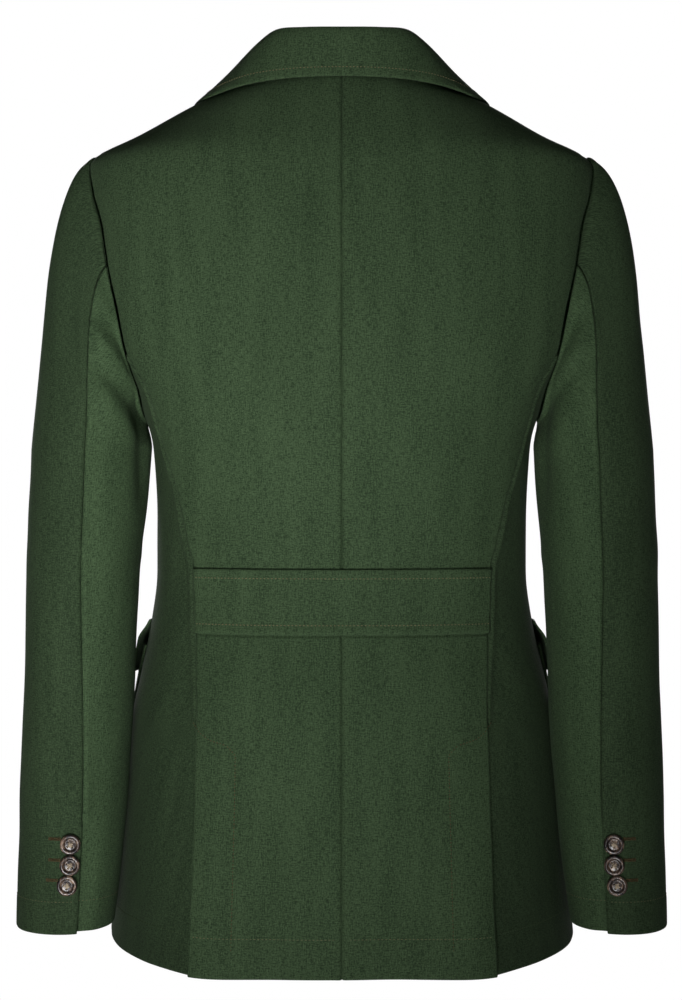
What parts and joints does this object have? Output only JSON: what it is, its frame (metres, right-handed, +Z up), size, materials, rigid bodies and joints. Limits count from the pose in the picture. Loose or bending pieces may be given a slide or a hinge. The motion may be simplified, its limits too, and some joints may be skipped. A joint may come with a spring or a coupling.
{
  "type": "safari jacket",
  "caption": "Linen safari jacket, filled out with no wearer: notch collar, half belt, side vents, flapped patch pockets and buttoned cuff vents.",
  "frame": {"origin": "between the shoulders, where the wearer's shoulders carry the jacket", "axes": "+Z up, -Y the jacket's front, +Y its back, +X the wearer's left"},
  "size_m": [0.4884, 0.276, 0.6884],
  "materials": {
    "linen": "plain-woven dark green linen, matt",
    "horn": "mottled brown horn, polished"
  },
  "bodies": {
    "root": {"back_left": "linen", "back_right": "linen", "side_left": "linen", "side_right": "linen", "front_left": "linen", "front_right": "linen", "half_belt": "linen", "collar": "linen", "lapel_left": "linen", "lapel_right": "linen", "sleeve_top_left": "linen", "sleeve_top_right": "linen", "sleeve_under_left": "linen", "sleeve_under_right": "linen", "hip_pocket_left": "linen", "hip_pocket_right": "linen", "hip_flap_left": "linen", "hip_flap_right": "linen", "chest_pocket_left": "linen", "chest_pocket_right": "linen", "chest_flap_left": "linen", "chest_flap_right": "linen", "cuff_button_left_1": "horn", "cuff_button_left_2": "horn", "cuff_button_left_3": "horn", "cuff_button_right_1": "horn", "cuff_button_right_2": "horn", "cuff_button_right_3": "horn", "front_button_1": "horn", "front_button_2": "horn", "front_button_3": "horn"}
  },
  "joints": []
}
